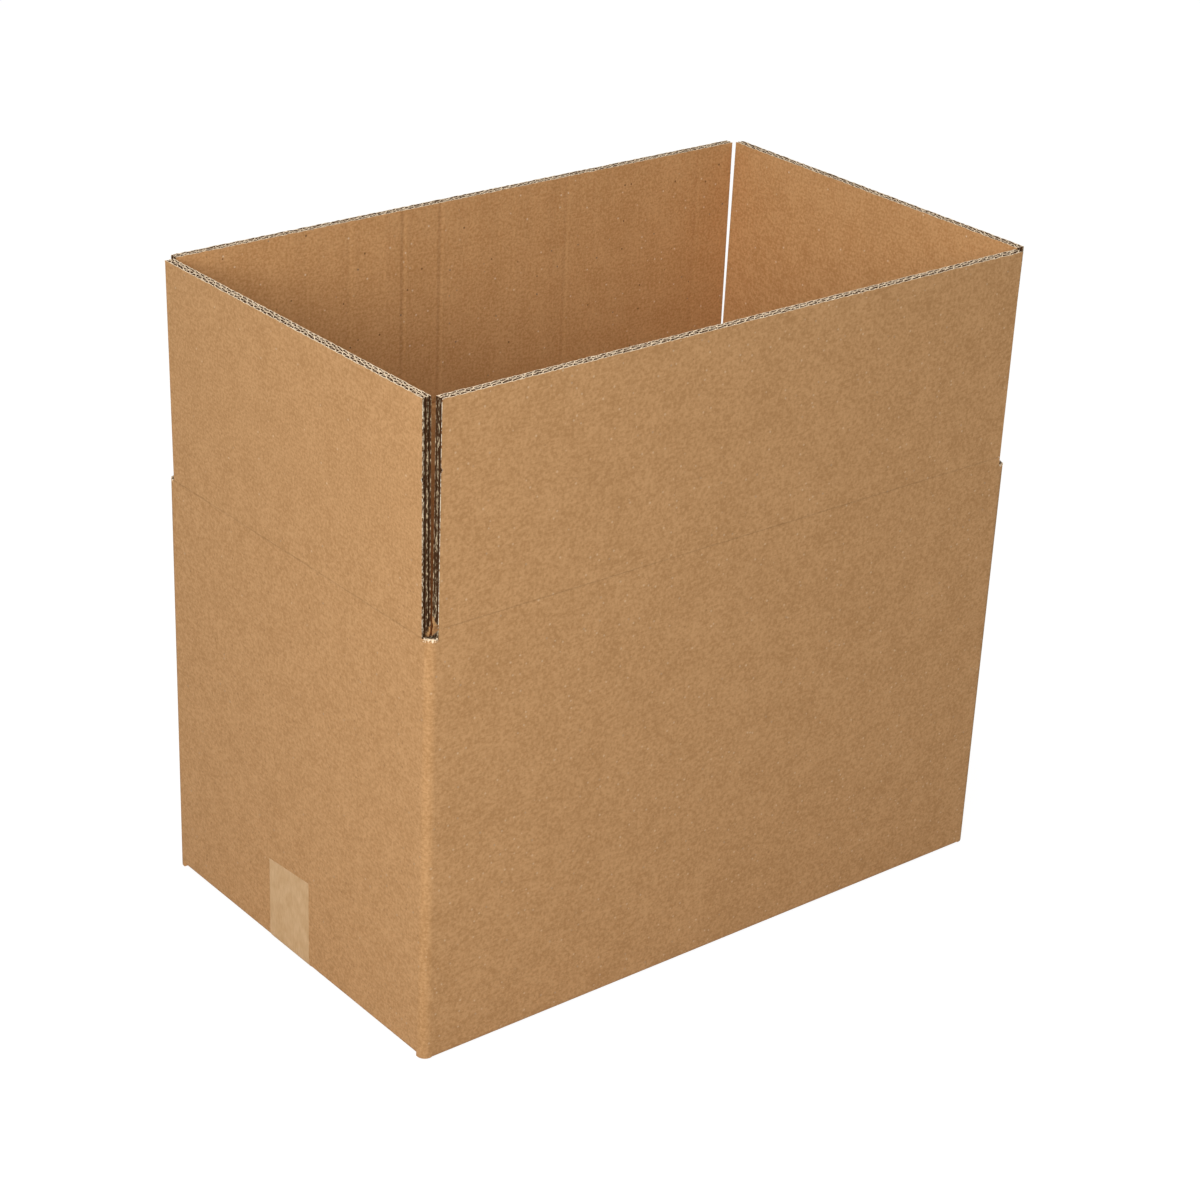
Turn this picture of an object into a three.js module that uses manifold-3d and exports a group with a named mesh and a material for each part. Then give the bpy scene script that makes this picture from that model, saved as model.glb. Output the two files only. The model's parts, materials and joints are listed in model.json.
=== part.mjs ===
// A slotted shipping carton of double-wall corrugated board, open at the top.
//
// The carton is one die-cut blank. Its four walls are folded round at upright
// scores and closed by a glue lap. The bottom flaps are folded in, short ones
// first, and held by one strip of gummed paper tape. The four top flaps stand
// open, and each swings on the score that joins it to its wall.
//
// Millimetres, +Z up. The origin is on the table, in the middle of the base.
// +X runs along the long walls, and the front long wall is at -Y.

import * as THREE from 'three';
import { mergeVertices } from 'three/addons/utils/BufferGeometryUtils.js';
import Module from 'manifold-3d';

const wasm = await Module();
wasm.setup();

// Driving dimensions of the carton

const LENGTH = 514; // outside, along the long walls
const WIDTH = 314; // outside, along the end walls
const BOARD = 6.8; // five plies: three liners and two fluted papers
const SCORE_HEIGHT = 325; // from the table to the score of the long flaps
const LONG_FLAP = 155; // from the score of a long flap to its cut edge
const LONG_FLAP_SETBACK = 7.4; // half slot, measured from the corner
const SHORT_FLAP_SETBACK = 7.6; // half slot, measured from the corner
const CORNER_RADIUS = 6; // outside of the upright folds
const INNER_CORNER_RADIUS = 1.2;
const FOLD_RADIUS = 5; // outside of the bottom folds
const SHORT_FLAP_LEAN = 0.7; // degrees that the short flaps lean out, as left by hand
const PLAY = 0.3; // free space between pieces that move past each other
const SEAM_GAP = 1.2; // between the two long bottom flaps
const HEEL_LIFT = 2.5; // end wall and corners above the table

const LAP_WIDTH = 36; // glue lap, from the end wall along the back wall
const LAP_BOARD = 5; // the lap is crushed where it is glued
const LAP_TAPER = 9; // the lap narrows towards its free edge
const LAP_CLEARANCE = 2; // above the bottom flaps and below the folded top flaps

const COARSE_PITCH = 7.9; // flutes under the outer liner
const COARSE_FROM = 0.5; // their row in the board, from the outer face
const COARSE_TO = 3.9;
const FINE_PITCH = 6.5; // flutes under the inner liner
const FINE_FROM = 4.3;
const FINE_TO = 6.3;
const FLUTE_WEB = 0.6; // fluted paper between two cells, along the row
const FLUTE_DEPTH = 15; // cells below the cut edge
const SIDE_GROOVE = 2.4; // cells that the slotting knife has opened
const CRUSHED_FOOT = 12; // pressed board next to the score, with no open cells

const TAPE_WIDTH = 50;
const TAPE_THICKNESS = 0.2;
const TAPE_OFFSET = 6; // strip laid a little to the back of the seam
const TAPE_TAB = 70.5; // height of the strip's ends on the end walls
const TAPE_SLANT = 3.9; // the torn ends drop by this towards the back

const ARC_STEP = THREE.MathUtils.degToRad(15);

// Sizes that follow from them

const halfLength = LENGTH / 2;
const halfWidth = WIDTH / 2;
const longScore = SCORE_HEIGHT;
const shortScore = SCORE_HEIGHT - BOARD - PLAY; // short flaps close under the long ones
const shortFlap = LONG_FLAP + longScore - shortScore; // all four cut edges are level
const longFlapWidth = LENGTH - 2 * LONG_FLAP_SETBACK;
const shortFlapWidth = WIDTH - 2 * SHORT_FLAP_SETBACK;
const longPlateFloor = TAPE_THICKNESS;
const longPlateTop = longPlateFloor + BOARD;
const shortPlateFloor = longPlateTop + PLAY;
const shortPlateTop = shortPlateFloor + BOARD;
const heelHeight = HEEL_LIFT + FOLD_RADIUS; // where the end wall starts to round under

// Shapes in a plane, and solids made of them

// An arc as points, in the plane, from one angle to another.
function arcPoints(centreX, centreY, radius, from, to) {
  const steps = Math.max(1, Math.round(Math.abs(to - from) / ARC_STEP));
  const points = [];
  for (let i = 0; i <= steps; i += 1) {
    const angle = from + ((to - from) * i) / steps;
    const x = centreX + radius * Math.cos(angle);
    const y = centreY + radius * Math.sin(angle);
    points.push(new THREE.Vector2(x, y));
  }
  return points;
}

function roundedRectangle(length, width, radius) {
  const x = length / 2 - radius;
  const y = width / 2 - radius;
  const quarter = Math.PI / 2;
  return [
    ...arcPoints(x, y, radius, 0, quarter),
    ...arcPoints(-x, y, radius, quarter, 2 * quarter),
    ...arcPoints(-x, -y, radius, 2 * quarter, 3 * quarter),
    ...arcPoints(x, -y, radius, 3 * quarter, 4 * quarter),
  ];
}

function pointsFrom(pairs) {
  return pairs.map(([x, y]) => new THREE.Vector2(x, y));
}

function prism(points, depth, hole) {
  const shape = new THREE.Shape(points);
  if (hole) {
    shape.holes.push(new THREE.Path(hole));
  }
  return new THREE.ExtrudeGeometry(shape, { depth, bevelEnabled: false });
}

const alongX = new THREE.Vector3(1, 0, 0);
const alongY = new THREE.Vector3(0, 1, 0);
const alongZ = new THREE.Vector3(0, 0, 1);

// A profile drawn in Y and Z, pulled along X and centred on it.
function prismAlongX(points, length) {
  const turn = new THREE.Matrix4().makeBasis(alongY, alongZ, alongX);
  return prism(points, length).applyMatrix4(turn).translate(-length / 2, 0, 0);
}

// A profile drawn in X and Z, pulled along Y and centred on it.
function prismAlongY(points, length) {
  const turn = new THREE.Matrix4().makeBasis(alongX, alongZ, alongY.clone().negate());
  return prism(points, length).applyMatrix4(turn).translate(0, length / 2, 0);
}

function toSolid(geometry) {
  const bare = geometry.clone();
  bare.deleteAttribute('normal');
  bare.deleteAttribute('uv');
  const welded = mergeVertices(bare);
  return new wasm.Manifold(
    new wasm.Mesh({
      numProp: 3,
      vertProperties: Float32Array.from(welded.attributes.position.array),
      triVerts: Uint32Array.from(welded.index.array),
    }),
  );
}

function toGeometry(solid) {
  const mesh = solid.getMesh();
  const geometry = new THREE.BufferGeometry();
  geometry.setAttribute('position', new THREE.BufferAttribute(mesh.vertProperties, 3));
  geometry.setIndex(new THREE.BufferAttribute(mesh.triVerts, 1));
  geometry.computeVertexNormals();
  return geometry;
}

// The same solid at the other side of the carton.
function withTwin(solid) {
  return solid.add(solid.rotate([0, 0, 180]));
}

// Materials

const kraftBoard = new THREE.MeshStandardMaterial({ color: 0xb98e5f, roughness: 0.85, metalness: 0 });
const flapBoard = new THREE.MeshStandardMaterial({ color: 0xbd9465, roughness: 0.85, metalness: 0 });
const paperTape = new THREE.MeshStandardMaterial({ color: 0xc3a072, roughness: 0.7, metalness: 0 });

// The folded and glued blank: walls, bottom flaps and glue lap

// Four walls in one band, square at the top and bottom.
function wallBand() {
  const outline = roundedRectangle(LENGTH, WIDTH, CORNER_RADIUS);
  const inside = roundedRectangle(LENGTH - 2 * BOARD, WIDTH - 2 * BOARD, INNER_CORNER_RADIUS);
  const height = longScore - HEEL_LIFT;
  return toSolid(prism(outline, height, inside).translate(0, 0, HEEL_LIFT));
}

// The front wall's foot and the long bottom flap that is folded from it.
function longBottomFlap(top) {
  const outer = -halfWidth;
  const inner = outer + BOARD;
  const bend = arcPoints(
    outer + FOLD_RADIUS,
    longPlateFloor + FOLD_RADIUS,
    FOLD_RADIUS,
    Math.PI,
    1.5 * Math.PI,
  );
  const profile = [
    ...bend,
    ...pointsFrom([
      [-SEAM_GAP / 2, longPlateFloor],
      [-SEAM_GAP / 2, longPlateTop],
      [inner, longPlateTop],
      [inner, top],
      [outer, top],
    ]),
  ];
  return toSolid(prismAlongX(profile, longFlapWidth));
}

// The left wall's foot and the short bottom flap, which lies on the long ones.
function shortBottomFlap(top) {
  const outer = -halfLength;
  const inner = outer + BOARD;
  const freeEdge = outer + shortFlap;
  const heel = arcPoints(outer + FOLD_RADIUS, heelHeight, FOLD_RADIUS, Math.PI, 1.5 * Math.PI);
  const profile = [
    ...heel,
    ...pointsFrom([
      [inner, HEEL_LIFT],
      [inner, shortPlateFloor],
      [freeEdge, shortPlateFloor],
      [freeEdge, shortPlateTop],
      [inner, shortPlateTop],
      [inner, top],
      [outer, top],
    ]),
  ];
  return toSolid(prismAlongY(profile, shortFlapWidth));
}

// What is cut from the band's lower edge to make room for the folded feet.
function feetCut(top) {
  const reach = BOARD + PLAY;
  const alongWall = pointsFrom([
    [-halfWidth - reach, 0],
    [-halfWidth + reach, 0],
    [-halfWidth + reach, top],
    [-halfWidth - reach, top],
  ]);
  const alongEnd = pointsFrom([
    [-halfLength - reach, 0],
    [-halfLength + reach, 0],
    [-halfLength + reach, top],
    [-halfLength - reach, top],
  ]);
  const wallCut = toSolid(prismAlongX(alongWall, longFlapWidth));
  const endCut = toSolid(prismAlongY(alongEnd, shortFlapWidth));
  return withTwin(wallCut.add(endCut));
}

// The crease at a wall's top: the board is pressed to an edge at its outer
// liner, so that the flap can fold in by a right angle.
function creaseCut(outer, score) {
  const edge = score - PLAY / 2;
  const over = BOARD; // past the wall on both sides
  return pointsFrom([
    [outer - over, edge + over],
    [outer + BOARD + over, edge - BOARD - over],
    [outer + BOARD + over, score + 2 * over],
    [outer - over, score + 2 * over],
  ]);
}

// The slot's floor at each corner, which is level with the short score.
function slotCut() {
  const floor = shortScore - PLAY / 2;
  const corner = pointsFrom([
    [-halfLength - BOARD, floor],
    [-halfLength + LONG_FLAP_SETBACK, floor],
    [-halfLength + LONG_FLAP_SETBACK, longScore + BOARD],
    [-halfLength - BOARD, longScore + BOARD],
  ]);
  return toSolid(prismAlongY(corner, WIDTH + 2 * BOARD));
}

// The lap that closes the band, folded from the right wall on to the back one.
function glueLap() {
  const fold = halfLength - BOARD;
  const freeEdge = fold - LAP_WIDTH;
  const bottom = shortPlateTop + LAP_CLEARANCE;
  const top = shortScore - BOARD - LAP_CLEARANCE;
  const root = 1; // sunk into both walls, so that the glued faces are one
  const outline = pointsFrom([
    [fold + root, bottom],
    [fold + root, top],
    [freeEdge, top - LAP_TAPER],
    [freeEdge, bottom + LAP_TAPER],
  ]);
  const depth = LAP_BOARD + root;
  const place = halfWidth - BOARD + root - depth / 2;
  return toSolid(prismAlongY(outline.reverse(), depth).translate(0, place, 0));
}

function boxBody() {
  const footTop = shortPlateTop + FOLD_RADIUS;
  const longCrease = toSolid(prismAlongX(creaseCut(-halfWidth, longScore), longFlapWidth));
  const shortCrease = toSolid(prismAlongY(creaseCut(-halfLength, shortScore), shortFlapWidth));
  const body = wallBand()
    .subtract(feetCut(footTop))
    .add(withTwin(longBottomFlap(footTop)))
    .add(withTwin(shortBottomFlap(footTop)))
    .subtract(withTwin(slotCut()))
    .subtract(withTwin(longCrease))
    .subtract(withTwin(shortCrease))
    .add(glueLap());
  const mesh = new THREE.Mesh(toGeometry(body), kraftBoard);
  mesh.name = 'box_body';
  return mesh;
}

// The four top flaps

// One row of open flute ends along the top edge: cells that point to the outer
// and to the inner liner by turns, with the fluted paper between them.
function fluteRow(width, height, pitch, from, to) {
  const halfBase = pitch / 2 - FLUTE_WEB;
  const room = width / 2 - SIDE_GROOVE - FLUTE_WEB - halfBase;
  const last = Math.floor(room / (pitch / 2));
  const cells = [];
  for (let i = -last; i <= last; i += 1) {
    const x = (i * pitch) / 2;
    const base = i % 2 === 0 ? from : to;
    const tip = i % 2 === 0 ? to : from;
    const corners = [
      [x - halfBase, base],
      [x + halfBase, base],
      [x, tip],
    ];
    cells.push(new THREE.Shape(pointsFrom(corners)));
  }
  const depth = FLUTE_DEPTH + PLAY;
  const row = new THREE.ExtrudeGeometry(cells, { depth, bevelEnabled: false });
  return toSolid(row.translate(0, 0, height - FLUTE_DEPTH));
}

// The same row where the knife has slit it lengthwise, at both sides.
function sideGrooves(width, height, from, to) {
  const outline = pointsFrom([
    [0, from],
    [SIDE_GROOVE + PLAY, from],
    [SIDE_GROOVE + PLAY, to],
    [0, to],
  ]);
  const groove = toSolid(prism(outline, height - CRUSHED_FOOT + PLAY));
  const left = groove.translate([-width / 2 - PLAY, 0, CRUSHED_FOOT]);
  const right = groove.translate([width / 2 - SIDE_GROOVE, 0, CRUSHED_FOOT]);
  return left.add(right);
}

// A flap standing on its score: the score is the X axis, the outer liner is at
// Y = 0 and the inner liner at Y = BOARD.
function boardFlap(width, height) {
  const edge = PLAY / 2;
  const profile = pointsFrom([
    [0, edge],
    [BOARD, edge + BOARD],
    [BOARD, height],
    [0, height],
  ]);
  const flap = toSolid(prismAlongX(profile, width))
    .subtract(fluteRow(width, height, COARSE_PITCH, COARSE_FROM, COARSE_TO))
    .subtract(fluteRow(width, height, FINE_PITCH, FINE_FROM, FINE_TO))
    .subtract(sideGrooves(width, height, COARSE_FROM, COARSE_TO))
    .subtract(sideGrooves(width, height, FINE_FROM, FINE_TO));
  return toGeometry(flap);
}

// A flap on its wall. The turn brings its inner face to the inside of the box.
function topFlap(name, width, height, place, turn, lean) {
  const mesh = new THREE.Mesh(boardFlap(width, height), flapBoard);
  mesh.name = name;
  mesh.rotation.x = THREE.MathUtils.degToRad(lean);
  const holder = new THREE.Group();
  holder.position.copy(place);
  holder.rotation.z = THREE.MathUtils.degToRad(turn);
  holder.add(mesh);
  return holder;
}

// The tape

// One strip along the bottom seam, bent up over the heel of both end walls.
function bottomTape() {
  const bendRadius = FOLD_RADIUS * 1.06; // the strip stands off the heel
  const bendEnd = THREE.MathUtils.degToRad(60);
  const centreX = -halfLength + bendRadius;
  const tabTop = TAPE_TAB + TAPE_SLANT;

  // One face of the strip, from the top of the left tab to the seam.
  const face = (offset) => {
    const bend = arcPoints(centreX, heelHeight, bendRadius + offset, Math.PI, Math.PI + bendEnd);
    const last = bend[bend.length - 1];
    const level = TAPE_THICKNESS - offset;
    const run = (last.y - level) * Math.tan(bendEnd);
    return [
      new THREE.Vector2(-halfLength - offset, tabTop),
      ...bend,
      new THREE.Vector2(last.x + run, level),
    ];
  };
  const mirrored = (points) => points.map((p) => new THREE.Vector2(-p.x, p.y)).reverse();
  const outer = face(TAPE_THICKNESS);
  const inner = face(0);
  const profile = [...outer, ...mirrored(outer), ...mirrored(inner).reverse(), ...[...inner].reverse()];
  const strip = toSolid(prismAlongY(profile, TAPE_WIDTH));

  // Both tabs are cut off on one slant.
  const reach = LENGTH;
  const half = TAPE_WIDTH / 2;
  const above = TAPE_TAB + 2 * TAPE_SLANT;
  const slant = pointsFrom([
    [-half * 2, TAPE_TAB + TAPE_SLANT],
    [half * 2, TAPE_TAB - TAPE_SLANT],
    [half * 2, above],
    [-half * 2, above],
  ]);
  const offcut = toSolid(prismAlongX(slant, 2 * reach));
  const mesh = new THREE.Mesh(toGeometry(strip.subtract(offcut)), paperTape);
  mesh.name = 'bottom_tape';
  mesh.position.y = TAPE_OFFSET;
  return mesh;
}

// The carton

const carton = new THREE.Group();
carton.name = 'shipping_carton';
carton.add(boxBody());
carton.add(
  topFlap('front_flap', longFlapWidth, LONG_FLAP, new THREE.Vector3(0, -halfWidth, longScore), 0, 0),
  topFlap('back_flap', longFlapWidth, LONG_FLAP, new THREE.Vector3(0, halfWidth, longScore), 180, 0),
  topFlap(
    'left_flap',
    shortFlapWidth,
    shortFlap,
    new THREE.Vector3(-halfLength, 0, shortScore),
    -90,
    SHORT_FLAP_LEAN,
  ),
  topFlap(
    'right_flap',
    shortFlapWidth,
    shortFlap,
    new THREE.Vector3(halfLength, 0, shortScore),
    90,
    SHORT_FLAP_LEAN,
  ),
);
carton.add(bottomTape());

export default carton;
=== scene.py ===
import json
import math

import bpy
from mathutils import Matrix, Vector


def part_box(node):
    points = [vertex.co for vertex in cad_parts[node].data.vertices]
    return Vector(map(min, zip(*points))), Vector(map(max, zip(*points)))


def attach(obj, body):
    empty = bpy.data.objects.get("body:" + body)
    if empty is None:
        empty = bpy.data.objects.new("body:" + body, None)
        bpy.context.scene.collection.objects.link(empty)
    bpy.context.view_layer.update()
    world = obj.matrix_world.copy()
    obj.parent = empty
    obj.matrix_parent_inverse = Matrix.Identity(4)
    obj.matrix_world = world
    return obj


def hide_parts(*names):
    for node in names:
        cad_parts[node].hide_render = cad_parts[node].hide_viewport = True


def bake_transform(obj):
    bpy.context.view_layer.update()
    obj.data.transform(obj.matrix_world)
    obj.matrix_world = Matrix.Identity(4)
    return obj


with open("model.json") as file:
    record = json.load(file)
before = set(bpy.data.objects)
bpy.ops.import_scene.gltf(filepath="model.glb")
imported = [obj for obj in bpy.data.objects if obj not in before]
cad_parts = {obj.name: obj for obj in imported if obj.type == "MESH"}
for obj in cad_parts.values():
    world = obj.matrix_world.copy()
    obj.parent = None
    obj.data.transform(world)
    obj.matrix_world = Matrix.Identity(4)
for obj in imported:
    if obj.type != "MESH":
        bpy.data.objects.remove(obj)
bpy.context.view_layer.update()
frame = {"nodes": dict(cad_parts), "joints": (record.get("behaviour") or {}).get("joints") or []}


# The blank: one sheet of kraft double-wall board, cut and scored on a die.
# It is folded round at four upright scores and glued at the lap inside the
# back right corner, and its bottom flaps are folded in.
def linear(hex_colour):
    channels = [int(hex_colour[i : i + 2], 16) / 255 for i in (1, 3, 5)]
    straight = [c / 12.92 if c <= 0.04045 else ((c + 0.055) / 1.055) ** 2.4 for c in channels]
    return (*straight, 1.0)


def add_node(tree, kind, settings, inputs):
    node = tree.nodes.new(kind)
    for name, value in settings.items():
        setattr(node, name, value)
    for name, value in inputs.items():
        if isinstance(value, bpy.types.NodeSocket):
            tree.links.new(value, node.inputs[name])
        else:
            node.inputs[name].default_value = value
    return node


def new_material(name):
    material = bpy.data.materials.new(name)
    material.use_nodes = True
    material.node_tree.nodes.clear()
    return material


# Kraft liner is unbleached softwood pulp, pressed on a paper machine. To the
# eye it is a warm matt brown, cloudy over a centimetre or two, with fine
# sideways fibres, a few dark specks of bark and a few pale shives.
def kraft_liner(name, dark, light, flute_pitch, flute_print, speckle, crushed_at):
    material = new_material(name)
    tree = material.node_tree
    place = add_node(tree, "ShaderNodeTexCoord", {}, {}).outputs["Object"]
    # Clouds are 18 mm wide, fibres 7 mm long and 1 mm thick, grain 2 mm.
    clouds = add_node(
        tree, "ShaderNodeTexNoise", {}, {"Vector": place, "Scale": 55, "Detail": 3, "Roughness": 0.5}
    ).outputs["Fac"]
    drawn_out = add_node(
        tree, "ShaderNodeMapping", {}, {"Vector": place, "Scale": (140, 140, 900)}
    ).outputs["Vector"]
    fibres = add_node(
        tree, "ShaderNodeTexNoise", {}, {"Vector": drawn_out, "Scale": 1, "Detail": 2}
    ).outputs["Fac"]
    grain = add_node(
        tree, "ShaderNodeTexNoise", {}, {"Vector": place, "Scale": 500, "Detail": 3, "Roughness": 0.6}
    ).outputs["Fac"]
    cloudy = add_node(
        tree, "ShaderNodeMath", {"operation": "MULTIPLY"}, {0: clouds, 1: 0.16}
    ).outputs[0]
    with_fibres = add_node(
        tree, "ShaderNodeMath", {"operation": "MULTIPLY_ADD"}, {0: fibres, 1: 0.19, 2: cloudy}
    ).outputs[0]
    formation = add_node(
        tree, "ShaderNodeMath", {"operation": "MULTIPLY_ADD"}, {0: grain, 1: 0.65, 2: with_fibres}
    ).outputs[0]
    tone = add_node(
        tree, "ShaderNodeMapRange", {}, {"Value": formation, "From Min": 0.405, "From Max": 0.595}
    ).outputs["Result"]
    paper = add_node(
        tree,
        "ShaderNodeMix",
        {"data_type": "RGBA"},
        {0: tone, 6: linear(dark), 7: linear(light)},
    ).outputs[2]
    # One speck at most in each 6 mm cell, about 1 mm across.
    cells = add_node(tree, "ShaderNodeTexVoronoi", {}, {"Vector": place, "Scale": 160})
    kind = add_node(tree, "ShaderNodeSeparateColor", {}, {"Color": cells.outputs["Color"]})
    dot = add_node(
        tree,
        "ShaderNodeMapRange",
        {},
        {"Value": cells.outputs["Distance"], "From Min": 0.09, "From Max": 0.15, "To Min": 1, "To Max": 0},
    ).outputs["Result"]
    is_bark = add_node(
        tree, "ShaderNodeMath", {"operation": "GREATER_THAN"}, {0: kind.outputs[0], 1: 0.84}
    ).outputs[0]
    is_shive = add_node(
        tree, "ShaderNodeMath", {"operation": "GREATER_THAN"}, {0: kind.outputs[1], 1: 0.84}
    ).outputs[0]
    bark = add_node(tree, "ShaderNodeMath", {"operation": "MULTIPLY"}, {0: dot, 1: is_bark}).outputs[0]
    shive = add_node(tree, "ShaderNodeMath", {"operation": "MULTIPLY"}, {0: dot, 1: is_shive}).outputs[0]
    shive_tone = add_node(
        tree, "ShaderNodeMath", {"operation": "MULTIPLY"}, {0: shive, 1: 0.45 * speckle}
    ).outputs[0]
    bark_tone = add_node(
        tree, "ShaderNodeMath", {"operation": "MULTIPLY"}, {0: bark, 1: 0.6 * speckle}
    ).outputs[0]
    with_shives = add_node(
        tree,
        "ShaderNodeMix",
        {"data_type": "RGBA"},
        {0: shive_tone, 6: paper, 7: linear("#efdcbd")},
    ).outputs[2]
    colour = add_node(
        tree,
        "ShaderNodeMix",
        {"data_type": "RGBA"},
        {0: bark_tone, 6: with_shives, 7: linear("#6a4828")},
    ).outputs[2]
    # The flutes print through the liner as faint upright waves, one a pitch.
    axes = add_node(tree, "ShaderNodeSeparateXYZ", {}, {"Vector": place})
    turns = 2 * math.pi / flute_pitch
    waves = []
    for axis in (0, 1):
        phase = add_node(
            tree, "ShaderNodeMath", {"operation": "MULTIPLY"}, {0: axes.outputs[axis], 1: turns}
        ).outputs[0]
        waves.append(add_node(tree, "ShaderNodeMath", {"operation": "SINE"}, {0: phase}).outputs[0])
    print_through = add_node(
        tree, "ShaderNodeMath", {"operation": "ADD"}, {0: waves[0], 1: waves[1]}
    ).outputs[0]
    relief = add_node(
        tree, "ShaderNodeMath", {"operation": "MULTIPLY"}, {0: print_through, 1: flute_print}
    ).outputs[0]
    relief = add_node(
        tree, "ShaderNodeMath", {"operation": "MULTIPLY_ADD"}, {0: formation, 1: 0.00013, 2: relief}
    ).outputs[0]
    # Upright lines where the rollers of the folding machine crushed the board.
    for line, depth in crushed_at:
        away = add_node(
            tree, "ShaderNodeMath", {"operation": "SUBTRACT"}, {0: axes.outputs[0], 1: line}
        ).outputs[0]
        away = add_node(tree, "ShaderNodeMath", {"operation": "ABSOLUTE"}, {0: away}).outputs[0]
        groove = add_node(
            tree,
            "ShaderNodeMapRange",
            {"interpolation_type": "SMOOTHSTEP"},
            {"Value": away, "From Min": 0, "From Max": 0.0034, "To Min": -depth, "To Max": 0},
        ).outputs["Result"]
        relief = add_node(
            tree, "ShaderNodeMath", {"operation": "ADD"}, {0: relief, 1: groove}
        ).outputs[0]
    bump = add_node(
        tree, "ShaderNodeBump", {}, {"Height": relief, "Strength": 1, "Distance": 1}
    ).outputs["Normal"]
    shader = add_node(
        tree,
        "ShaderNodeBsdfPrincipled",
        {},
        {"Base Color": colour, "Roughness": 0.82, "Specular IOR Level": 0.25, "Normal": bump},
    ).outputs[0]
    add_node(tree, "ShaderNodeOutputMaterial", {}, {"Surface": shader})
    return material


# Where a knife or die has cut the board, the plies end in torn pale fibre,
# with brown where the paper was only pressed. Tufts are about 1 mm wide, and
# a slotting knife draws them out to 3 mm.
def cut_paper(name, pale, brown, share, upright_scale):
    material = new_material(name)
    tree = material.node_tree
    place = add_node(tree, "ShaderNodeTexCoord", {}, {}).outputs["Object"]
    drawn_out = add_node(
        tree, "ShaderNodeMapping", {}, {"Vector": place, "Scale": (900, 900, upright_scale)}
    ).outputs["Vector"]
    tufts = add_node(
        tree, "ShaderNodeTexNoise", {}, {"Vector": drawn_out, "Scale": 1, "Detail": 2, "Roughness": 0.7}
    ).outputs["Fac"]
    torn = add_node(
        tree, "ShaderNodeMapRange", {}, {"Value": tufts, "From Min": share - 0.08, "From Max": share + 0.08}
    ).outputs["Result"]
    colour = add_node(
        tree,
        "ShaderNodeMix",
        {"data_type": "RGBA"},
        {0: torn, 6: linear(brown), 7: linear(pale)},
    ).outputs[2]
    fuzz = add_node(
        tree, "ShaderNodeBump", {}, {"Height": tufts, "Strength": 0.7, "Distance": 0.0006}
    ).outputs["Normal"]
    shader = add_node(
        tree,
        "ShaderNodeBsdfPrincipled",
        {},
        {"Base Color": colour, "Roughness": 0.95, "Specular IOR Level": 0.15, "Normal": fuzz},
    ).outputs[0]
    add_node(tree, "ShaderNodeOutputMaterial", {}, {"Surface": shader})
    return material


# Sizes come from the frame, to the nearest micron.
def extent(node, axis):
    low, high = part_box(node)
    return round(high[axis] - low[axis], 6)


LENGTH = extent("box_body", 0)
WIDTH = extent("box_body", 1)
BOARD = extent("front_flap", 1)
C_PITCH = 0.0079
B_PITCH = 0.0065
# Each line: its place along the back panel, and how deep it is crushed.
CRUSH_LINES = (
    (-0.108, 0.00022),
    (-0.061, 0.0005),
    (-0.028, 0.0004),
    (0.088, 0.00026),
    (0.216, 0.00026),
)
outer_liner = kraft_liner("kraft_liner_outside", "#a87d4f", "#be9263", C_PITCH, 0.000004, 0.5, ())
# The inside liner is drawn lighter than the outside one. That lightness is painted light: it brightens the
# inside of the box, which the lamps light too little.
inner_liner = kraft_liner(
    "kraft_liner_inside", "#bd8c58", "#d4a571", B_PITCH, 0.000022, 1.4, CRUSH_LINES
)
# The die-cut edge's cream is partly the pale torn fibre and partly painted light: it is drawn paler than
# the fibre, standing for light from above on the flaps' top edges.
cut_edge = cut_paper("die_cut_paper_edge", "#f4ddbd", "#8f5e30", 0.38, 900)
slit_edge = cut_paper("knife_slit_paper_edge", "#d6c09c", "#422a15", 0.57, 300)


def only(piece):
    bpy.ops.object.select_all(action="DESELECT")
    piece.select_set(True)
    bpy.context.view_layer.objects.active = piece


def merged_copy(node, name):
    piece = frame["nodes"][node].copy()
    piece.data = piece.data.copy()
    piece.parent = None
    piece.name = name
    piece.data.name = name
    piece.data.materials.clear()
    bpy.context.scene.collection.objects.link(piece)
    only(piece)
    bpy.ops.object.mode_set(mode="EDIT")
    bpy.ops.mesh.select_all(action="SELECT")
    bpy.ops.mesh.remove_doubles(threshold=0.00001)
    bpy.ops.mesh.dissolve_limited(angle_limit=math.radians(1))
    bpy.ops.object.mode_set(mode="OBJECT")
    bpy.ops.object.shade_smooth_by_angle(angle=math.radians(24))
    return piece


# Each face is painted by its place: on a rounded corner, in the outer skin,
# at a slot, or at the cut end of a bottom flap.
CORNER = 0.008
SKIN = 0.002
SLOT_FLOOR = 0.317
BOTTOM_FLAPS_TOP = 0.015
CLEAR_OF_WALLS = 0.2
blank = merged_copy("box_body", "folded_blank")
for material in (outer_liner, inner_liner, cut_edge, slit_edge):
    blank.data.materials.append(material)
OUTSIDE, INSIDE, DIE_CUT, SLIT = range(4)
for face in blank.data.polygons:
    x, y, z = face.center
    nx, ny, nz = face.normal
    faces_end = abs(nx) > 0.9
    faces_out = nx * x + ny * y - nz * 0.01 > 0
    at_corner = abs(x) > LENGTH / 2 - CORNER and abs(y) > WIDTH / 2 - CORNER
    out_of_wall = abs(x) > LENGTH / 2 - SKIN or abs(y) > WIDTH / 2 - SKIN
    underneath = z < SKIN / 2
    if nz > 0.9 and z > SLOT_FLOOR - 0.001:
        face.material_index = SLIT
    elif faces_end and z > SLOT_FLOOR and abs(x) < LENGTH / 2 - SKIN / 2:
        face.material_index = SLIT
    elif faces_end and z < BOTTOM_FLAPS_TOP and abs(x) < CLEAR_OF_WALLS:
        face.material_index = DIE_CUT
    elif (out_of_wall or at_corner or underneath) and faces_out:
        face.material_index = OUTSIDE
    else:
        face.material_index = INSIDE
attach(blank, "box")
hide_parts("box_body")


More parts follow.
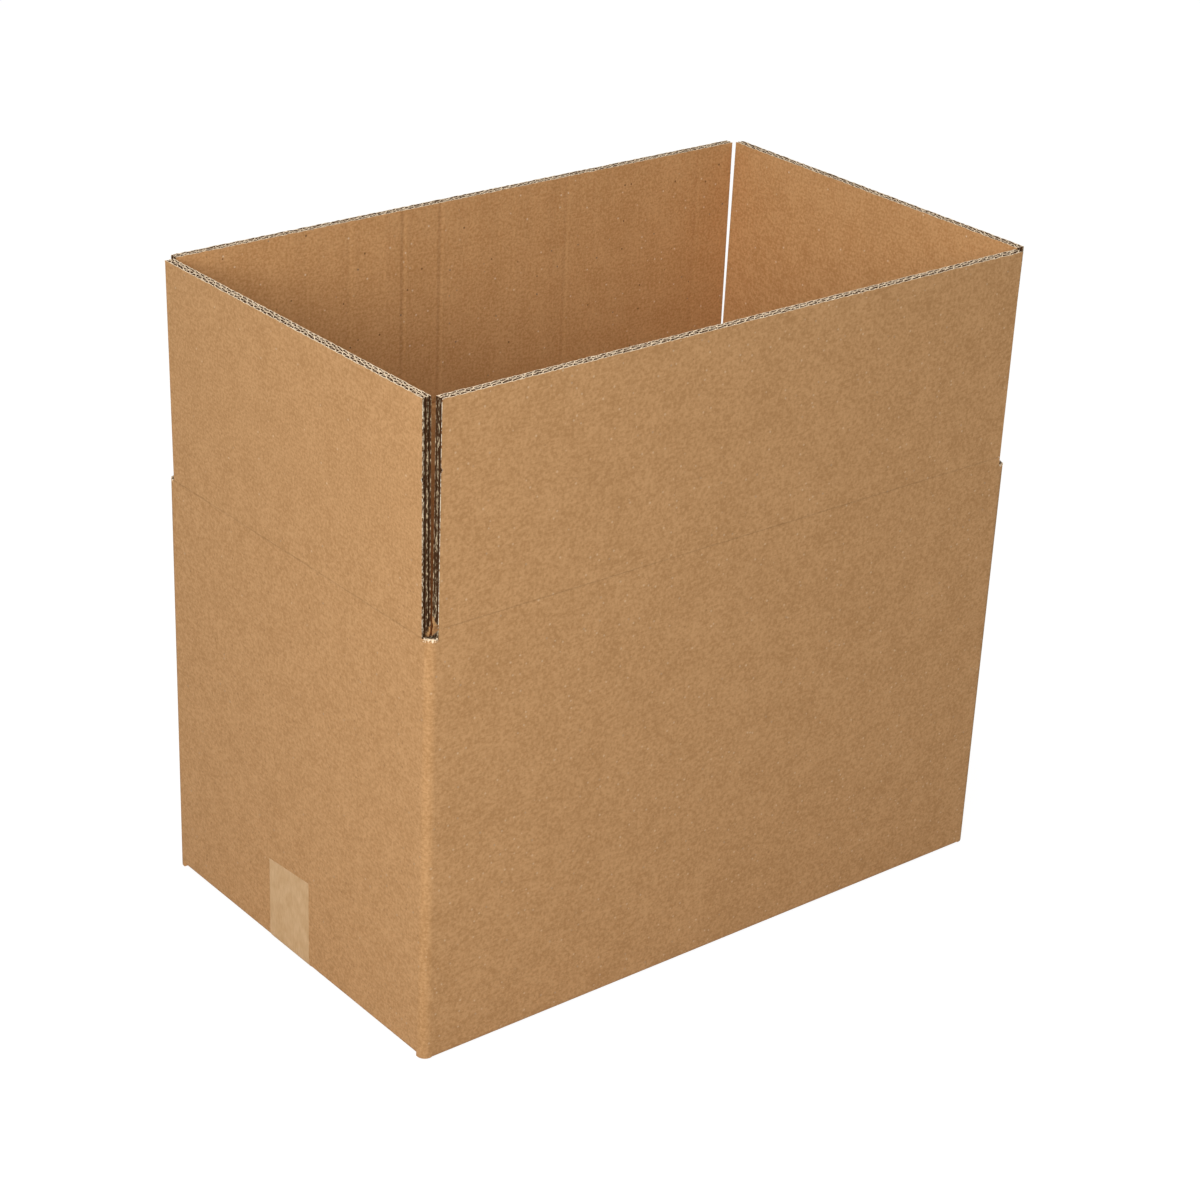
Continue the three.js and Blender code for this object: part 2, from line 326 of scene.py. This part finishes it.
# The four top flaps: the same board, three liners with a coarse and a fine
# fluted paper glued between them. The flutes stand upright, so their ends
# show along the top edge. The sides were slotted with a knife.
def flute_paper(name):
    material = new_material(name)
    tree = material.node_tree
    place = add_node(tree, "ShaderNodeTexCoord", {}, {}).outputs["Object"]
    grain = add_node(
        tree, "ShaderNodeTexNoise", {}, {"Vector": place, "Scale": 800, "Detail": 2}
    ).outputs["Fac"]
    # Dark browns: the fluting's own colour, darkened further by painted shade for the inside of the flutes.
    colour = add_node(
        tree,
        "ShaderNodeMix",
        {"data_type": "RGBA"},
        {0: grain, 6: linear("#402611"), 7: linear("#633f20")},
    ).outputs[2]
    fuzz = add_node(
        tree, "ShaderNodeBump", {}, {"Height": grain, "Strength": 0.5, "Distance": 0.0003}
    ).outputs["Normal"]
    shader = add_node(
        tree,
        "ShaderNodeBsdfPrincipled",
        {},
        {"Base Color": colour, "Roughness": 0.9, "Specular IOR Level": 0.2, "Normal": fuzz},
    ).outputs[0]
    add_node(tree, "ShaderNodeOutputMaterial", {}, {"Surface": shader})
    return material


# Fluting is semichemical hardwood pulp, darker and rougher than the liners. Its colour is drawn darker
# still, as painted shade for the shadow down in the open flutes.
fluting_painted_shade = flute_paper("semichemical_fluting_painted_shade")
frayed_edge = cut_paper("frayed_liner_edge", "#e0d1b8", "#6a4728", 0.5, 450)

# Papers are drawn 0.7 mm thick, about three times the real ones, to show.
LINER = 0.00075
MEDIUM = 0.0007
C_LOW, C_HIGH = LINER, 0.00325
B_LOW, B_HIGH = 0.0040, BOARD - LINER
CUT_BACK = 0.0003


def finish_modifier(piece, kind, **settings):
    only(piece)
    modifier = piece.modifiers.new(kind.lower(), kind)
    for name, value in settings.items():
        setattr(modifier, name, value)
    bpy.ops.object.modifier_apply(modifier=modifier.name)


# A flat ply, standing. Its rim is a row of its own, which the knife frayed.
TUFT = 0.0022
FRAYED_ROW = 0.0016
LINER_FRAY = 0.0002


def liner_ply(width, height, face_y, seed):
    bpy.ops.object.select_all(action="DESELECT")
    bpy.ops.mesh.primitive_grid_add(
        x_subdivisions=round(width / TUFT),
        y_subdivisions=1,
        size=1,
        location=(0, face_y, (height - FRAYED_ROW) / 2),
        rotation=(math.pi / 2, 0, 0),
    )
    ply = bpy.context.object
    ply.scale = (width, height - FRAYED_ROW, 1)
    bpy.ops.object.transform_apply(location=True, rotation=True, scale=True)
    below_edge = max(vertex.co.z for vertex in ply.data.vertices) - 0.0001
    bpy.ops.object.mode_set(mode="EDIT")
    bpy.ops.mesh.select_mode(type="VERT")
    bpy.ops.mesh.select_all(action="DESELECT")
    bpy.ops.object.mode_set(mode="OBJECT")
    for vertex in ply.data.vertices:
        vertex.select = vertex.co.z > below_edge
    bpy.ops.object.mode_set(mode="EDIT")
    bpy.ops.mesh.extrude_region_move(TRANSFORM_OT_translate={"value": (0, 0, FRAYED_ROW)})
    bpy.ops.transform.translate(value=(0, 0, -CUT_BACK))
    bpy.ops.transform.vertex_random(offset=LINER_FRAY, uniform=1.0, normal=0.0, seed=seed)
    bpy.ops.object.mode_set(mode="OBJECT")
    finish_modifier(ply, "SOLIDIFY", thickness=LINER, offset=0)
    return ply


# The outer liner is nicked at one end, 4 mm high and over 1 mm deep.
NICK_LEVEL = 0.108
NICK_HALF_HEIGHT = 0.002
NICK_DEPTH = 0.0013


def nick_liner(ply, end):
    bpy.ops.object.mode_set(mode="EDIT")
    for cut in (NICK_LEVEL - NICK_HALF_HEIGHT, NICK_LEVEL, NICK_LEVEL + NICK_HALF_HEIGHT):
        bpy.ops.mesh.select_all(action="SELECT")
        bpy.ops.mesh.bisect(plane_co=(0, 0, cut), plane_no=(0, 0, 1))
    bpy.ops.object.mode_set(mode="OBJECT")
    tip = max(end * vertex.co.x for vertex in ply.data.vertices) - 0.0001
    for vertex in ply.data.vertices:
        if end * vertex.co.x > tip and abs(vertex.co.z - NICK_LEVEL) < 0.0001:
            vertex.co.x -= end * NICK_DEPTH


# A fluted ply: one flute is bent, and then repeated along the board. Glued
# to its liners, it is a little squarer than a sine wave.
FLUTE_FRAY = 0.00018
SQUARENESS = 2


def fluted_ply(width, height, low, high, pitch, seed):
    count = math.ceil(width / pitch) + 2
    middle = (low + high) / 2
    swing = (high - low - MEDIUM) / 2
    bpy.ops.object.select_all(action="DESELECT")
    bpy.ops.mesh.primitive_grid_add(
        x_subdivisions=12,
        y_subdivisions=1,
        size=1,
        location=(0, 0, (height - CUT_BACK) / 2),
        rotation=(math.pi / 2, 0, 0),
    )
    ply = bpy.context.object
    ply.scale = (pitch, height - CUT_BACK, 1)
    bpy.ops.object.transform_apply(location=True, rotation=True, scale=True)
    for vertex in ply.data.vertices:
        turn = 2 * math.pi * vertex.co.x / pitch
        vertex.co.y = middle + swing * math.tanh(SQUARENESS * math.cos(turn)) / math.tanh(SQUARENESS)
    finish_modifier(
        ply,
        "ARRAY",
        count=count,
        use_relative_offset=False,
        use_constant_offset=True,
        constant_offset_displace=(pitch, 0, 0),
        use_merge_vertices=True,
        merge_threshold=0.00005,
    )
    bpy.ops.object.mode_set(mode="EDIT")
    bpy.ops.mesh.select_all(action="SELECT")
    bpy.ops.transform.translate(value=(-(count - 1) * pitch / 2, 0, 0))
    bpy.ops.object.mode_set(mode="OBJECT")
    finish_modifier(ply, "SOLIDIFY", thickness=MEDIUM, offset=0)
    below_edge = height - 0.001
    for vertex in ply.data.vertices:
        vertex.select = vertex.co.z > below_edge
    bpy.ops.object.mode_set(mode="EDIT")
    bpy.ops.transform.vertex_random(offset=FLUTE_FRAY, uniform=1.0, normal=0.0, seed=seed)
    for side in (-1, 1):
        bpy.ops.mesh.select_all(action="SELECT")
        bpy.ops.mesh.bisect(
            plane_co=(side * width / 2, 0, 0), plane_no=(side, 0, 0), clear_outer=True, use_fill=True
        )
    bpy.ops.object.mode_set(mode="OBJECT")
    return ply


# All five plies, with the foot pressed down to the outer liner at the score.
FRAY_DEPTH = 0.0014
SLIT_DEPTH = 0.0004


def board_flap(name, width, height, nicked_end, seed):
    plies = [
        liner_ply(width, height, LINER / 2, seed),
        fluted_ply(width, height, C_LOW, C_HIGH, C_PITCH, seed + 1),
        liner_ply(width, height, (C_HIGH + B_LOW) / 2, seed + 2),
        fluted_ply(width, height, B_LOW, B_HIGH, B_PITCH, seed + 3),
        liner_ply(width, height, BOARD - LINER / 2, seed + 4),
    ]
    if nicked_end:
        only(plies[0])
        nick_liner(plies[0], nicked_end)
    bpy.ops.object.select_all(action="DESELECT")
    for ply in plies:
        ply.select_set(True)
    bpy.context.view_layer.objects.active = plies[0]
    bpy.ops.object.join()
    flap = bpy.context.object
    flap.name = name
    flap.data.name = name
    bpy.ops.object.mode_set(mode="EDIT")
    bpy.ops.mesh.select_all(action="SELECT")
    bpy.ops.mesh.bisect(plane_co=(0, 0, 0), plane_no=(0, 1, -1), clear_outer=True, use_fill=True)
    bpy.ops.object.mode_set(mode="OBJECT")
    for material in (outer_liner, inner_liner, fluting_painted_shade, cut_edge, slit_edge, frayed_edge):
        flap.data.materials.append(material)
    outside, inside, flute, die_cut, slit, frayed = range(6)
    for face in flap.data.polygons:
        x, y, z = face.center
        nx, ny, nz = face.normal
        if nz > 0.3 and z > height - FRAY_DEPTH:
            face.material_index = die_cut
        elif abs(nx) > 0.7 and abs(x) > width / 2 - FRAY_DEPTH and y < LINER:
            face.material_index = frayed
        elif abs(nx) > 0.9 and abs(x) > width / 2 - SLIT_DEPTH:
            face.material_index = slit
        elif ny < -0.7 and y < LINER / 2:
            face.material_index = outside
        elif ny > 0.7 and y > BOARD - LINER / 2:
            face.material_index = inside
        else:
            face.material_index = flute
    only(flap)
    bpy.ops.object.shade_smooth_by_angle(angle=math.radians(35))
    return flap


def stand_on_score(piece, score, turn, lean):
    only(piece)
    piece.location = score
    piece.rotation_euler = (math.radians(lean), 0, math.radians(turn))
    bpy.ops.object.transform_apply(location=True, rotation=True, scale=True)


scores = {joint["child"]: tuple(joint["pos_m"]) for joint in frame["joints"]}
top_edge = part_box("front_flap")[1][2]
LONG_FLAP = round(top_edge - scores["front"][2], 6)
SHORT_FLAP = round(top_edge - scores["left"][2], 6)
LONG_FLAP_WIDTH = extent("front_flap", 0)
# Torn fibre stands out of the short flaps' sides, so their board is narrower.
SIDE_FRAY = 0.0003
SHORT_FLAP_WIDTH = round(extent("left_flap", 1) - 2 * SIDE_FRAY, 6)
SHORT_LEAN = 0.7
# Each flap: its width, height and score, its turn and lean, its nicked end.
FLAPS = (
    ("front", LONG_FLAP_WIDTH, LONG_FLAP, scores["front"], 0, 0, -1),
    ("back", LONG_FLAP_WIDTH, LONG_FLAP, scores["back"], 180, 0, 0),
    ("left", SHORT_FLAP_WIDTH, SHORT_FLAP, scores["left"], -90, SHORT_LEAN, 1),
    ("right", SHORT_FLAP_WIDTH, SHORT_FLAP, scores["right"], 90, SHORT_LEAN, 0),
)
for number, (side, width, height, score, turn, lean, nicked_end) in enumerate(FLAPS):
    flap = board_flap(side + "_flap_board", width, height, nicked_end, 10 * number + 1)
    stand_on_score(flap, score, turn, lean)
    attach(flap, side)
    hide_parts(side + "_flap")


# The creases: at each score the inner liner is pressed into the board. On a real box it buckles inwards
# when the flap is folded in, and stretches when it hangs out; here each strip is made once, at its flap's
# lean, and is not attached to the flap.
PRESS_DEPTH = 0.0011
PRESS_REACH = 0.0016
CREASE_PAPER = 0.0004
CREASE_FACE = BOARD - 0.00025


def crease_strip(name, width, lean):
    bpy.ops.object.select_all(action="DESELECT")
    bpy.ops.mesh.primitive_grid_add(
        x_subdivisions=4, y_subdivisions=12, size=1, rotation=(math.pi / 2, 0, 0)
    )
    strip = bpy.context.object
    strip.name = name
    strip.data.name = name
    strip.scale = (width, 2 * BOARD, 1)
    bpy.ops.object.transform_apply(location=True, rotation=True, scale=True)
    for vertex in strip.data.vertices:
        up = vertex.co.z
        inner = CREASE_FACE - PRESS_DEPTH * math.exp(-((up / PRESS_REACH) ** 2))
        turn = math.radians(lean) * (up / BOARD + 1) / 2
        vertex.co.y = inner * math.cos(turn) - up * math.sin(turn)
        vertex.co.z = inner * math.sin(turn) + up * math.cos(turn)
    finish_modifier(strip, "SOLIDIFY", thickness=CREASE_PAPER, offset=0)
    strip.data.materials.append(inner_liner)
    only(strip)
    bpy.ops.object.shade_smooth_by_angle(angle=math.radians(40))
    return strip


for side, width, height, score, turn, lean, nicked_end in FLAPS:
    strip = crease_strip(side + "_crease", width, lean)
    stand_on_score(strip, score, turn, 0)
    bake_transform(strip)


# The torn rims: where each slot ends at the folded corner, the knife stops and
# the last of the paper is torn, so its plies stand up as a pale fringe.
RIM_BEND = 0.006
RIM_REACH = 0.0066
RIM_TEAR = 0.0008
RIM_PAPER = 0.0005
RIM_ROOT = 0.0002


def torn_rim(corner_x, corner_y, depth, rise, seed):
    bpy.ops.object.select_all(action="DESELECT")
    bpy.ops.mesh.primitive_grid_add(
        x_subdivisions=30, y_subdivisions=2, size=1, rotation=(math.pi / 2, 0, 0)
    )
    rim = bpy.context.object
    bpy.ops.object.transform_apply(location=True, rotation=True, scale=True)
    bend = max(RIM_BEND - depth, 0.0008)
    reach = RIM_REACH - depth
    straight = reach - bend
    around = bend * math.pi / 2
    for vertex in rim.data.vertices:
        along = (vertex.co.x + 0.5) * (2 * straight + around)
        up = vertex.co.z + 0.5
        if along < straight:
            x, y = -reach + along, 0.0
        elif along < straight + around:
            turn = (along - straight) / bend
            x, y = -bend + bend * math.sin(turn), bend * math.cos(turn) - bend
        else:
            x, y = 0.0, -bend - (along - straight - around)
        vertex.co.x = math.copysign(LENGTH / 2 - depth + x, corner_x)
        vertex.co.y = math.copysign(WIDTH / 2 - depth + y, corner_y)
        vertex.co.z = SLOT_FLOOR - RIM_ROOT + (rise + 2 * RIM_ROOT) * up
        vertex.select = up > 0.9
    bpy.ops.object.mode_set(mode="EDIT")
    bpy.ops.transform.vertex_random(offset=RIM_TEAR, uniform=1.0, normal=0.0, seed=seed)
    bpy.ops.object.mode_set(mode="OBJECT")
    finish_modifier(rim, "SOLIDIFY", thickness=RIM_PAPER, offset=0)
    rim.data.materials.append(cut_edge if depth < LINER else slit_edge)
    return rim


# The corner at the front left was torn most, and its fringe stands highest.
rims = []
for number, (corner_x, corner_y) in enumerate(((-1, -1), (1, -1), (1, 1), (-1, 1))):
    lift = 1.0 if number == 0 else 0.35
    for depth, rise in ((0.0004, 0.0014), (0.0032, 0.0009), (0.0060, 0.0007)):
        rims.append(torn_rim(corner_x, corner_y, depth, lift * rise, 60 + len(rims)))
bpy.ops.object.select_all(action="DESELECT")
for rim in rims:
    rim.select_set(True)
bpy.context.view_layer.objects.active = rims[0]
bpy.ops.object.join()
fringe = bpy.context.object
fringe.name = "slot_fringes"
fringe.data.name = "slot_fringes"
bpy.ops.object.mode_set(mode="EDIT")
bpy.ops.mesh.select_all(action="SELECT")
bpy.ops.mesh.normals_make_consistent(inside=False)
bpy.ops.object.mode_set(mode="OBJECT")
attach(fringe, "box")


# The tape: kraft paper with water-based gum, laid along the bottom seam and
# rubbed up both end walls. It is a little paler and smoother than the board.
def gummed_tape(name):
    material = new_material(name)
    tree = material.node_tree
    place = add_node(tree, "ShaderNodeTexCoord", {}, {}).outputs["Object"]
    drawn_out = add_node(
        tree, "ShaderNodeMapping", {}, {"Vector": place, "Scale": (160, 900, 160)}
    ).outputs["Vector"]
    fibres = add_node(
        tree, "ShaderNodeTexNoise", {}, {"Vector": drawn_out, "Scale": 1, "Detail": 3}
    ).outputs["Fac"]
    clouds = add_node(
        tree, "ShaderNodeTexNoise", {}, {"Vector": place, "Scale": 90, "Detail": 3}
    ).outputs["Fac"]
    both = add_node(
        tree, "ShaderNodeMath", {"operation": "ADD"}, {0: fibres, 1: clouds}
    ).outputs[0]
    tone = add_node(
        tree, "ShaderNodeMapRange", {}, {"Value": both, "From Min": 0.75, "From Max": 1.25}
    ).outputs["Result"]
    colour = add_node(
        tree,
        "ShaderNodeMix",
        {"data_type": "RGBA"},
        {0: tone, 6: linear("#ba9567"), 7: linear("#c9a67c")},
    ).outputs[2]
    bump = add_node(
        tree, "ShaderNodeBump", {}, {"Height": both, "Strength": 0.4, "Distance": 0.0001}
    ).outputs["Normal"]
    shader = add_node(
        tree,
        "ShaderNodeBsdfPrincipled",
        {},
        {"Base Color": colour, "Roughness": 0.62, "Specular IOR Level": 0.35, "Normal": bump},
    ).outputs[0]
    add_node(tree, "ShaderNodeOutputMaterial", {}, {"Surface": shader})
    return material


tape = merged_copy("bottom_tape", "seam_tape")
tape.data.materials.append(gummed_tape("gummed_kraft_tape"))
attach(tape, "box")
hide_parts("bottom_tape")


# The studio: a plain white floor, white surroundings, one large soft lamp at
# the front left and a weak one above.
UNDER_TAPE = -0.0002


def white_floor(name):
    material = new_material(name)
    tree = material.node_tree
    seen = add_node(tree, "ShaderNodeLightPath", {}, {}).outputs["Is Camera Ray"]
    share = add_node(tree, "ShaderNodeMath", {"operation": "MULTIPLY"}, {0: seen, 1: 0.8}).outputs[0]
    matt = add_node(
        tree, "ShaderNodeBsdfDiffuse", {}, {"Color": (0.85, 0.85, 0.85, 1), "Roughness": 0}
    ).outputs[0]
    bright = add_node(
        tree, "ShaderNodeEmission", {}, {"Color": (1, 1, 1, 1), "Strength": 1.15}
    ).outputs[0]
    mixed = add_node(tree, "ShaderNodeMixShader", {}, {0: share, 1: matt, 2: bright}).outputs[0]
    add_node(tree, "ShaderNodeOutputMaterial", {}, {"Surface": mixed})
    return material


bpy.ops.object.select_all(action="DESELECT")
bpy.ops.mesh.primitive_plane_add(size=30, location=(0, 0, UNDER_TAPE))
floor = bpy.context.object
floor.name = "studio_floor"
floor.data.materials.append(white_floor("white_floor"))

world = bpy.data.worlds.new("studio_white")
world.use_nodes = True
world.node_tree.nodes.clear()
seen_by = add_node(world.node_tree, "ShaderNodeLightPath", {}, {})
dim = add_node(
    world.node_tree, "ShaderNodeBackground", {}, {"Color": (1, 1, 1, 1), "Strength": 0.49}
).outputs[0]
full = add_node(
    world.node_tree, "ShaderNodeBackground", {}, {"Color": (1, 1, 1, 1), "Strength": 1.0}
).outputs[0]
sky = add_node(
    world.node_tree,
    "ShaderNodeMixShader",
    {},
    {0: seen_by.outputs["Is Camera Ray"], 1: dim, 2: full},
).outputs[0]
add_node(world.node_tree, "ShaderNodeOutputWorld", {}, {"Surface": sky})
bpy.context.scene.world = world


def soft_lamp(name, place, aim, size, watts):
    bpy.ops.object.select_all(action="DESELECT")
    bpy.ops.object.light_add(type="AREA", location=place)
    lamp = bpy.context.object
    lamp.name = name
    lamp.data.shape = "DISK"
    lamp.data.size = size
    lamp.data.energy = watts
    lamp.rotation_euler = (Vector(aim) - Vector(place)).to_track_quat("-Z", "Y").to_euler()


soft_lamp("key_lamp", (-1.32, -0.95, 1.15), (0, 0, 0.25), 1.0, 21)
soft_lamp("top_lamp", (0.1, 0.1, 2.0), (0, 0, 0.3), 1.2, 5)

bpy.ops.object.select_all(action="DESELECT")
bpy.ops.object.camera_add(location=(-1.19283, -1.44164, 1.11787))
camera = bpy.context.object
camera.rotation_euler = (math.radians(63.4017), math.radians(-1.4973), math.radians(-37.1255))
camera.data.lens = 85.463
camera.data.sensor_width = 36
camera.data.shift_x = 0.0757
camera.data.shift_y = 0.0319
bpy.context.scene.camera = camera
bpy.context.scene.view_settings.view_transform = "Standard"
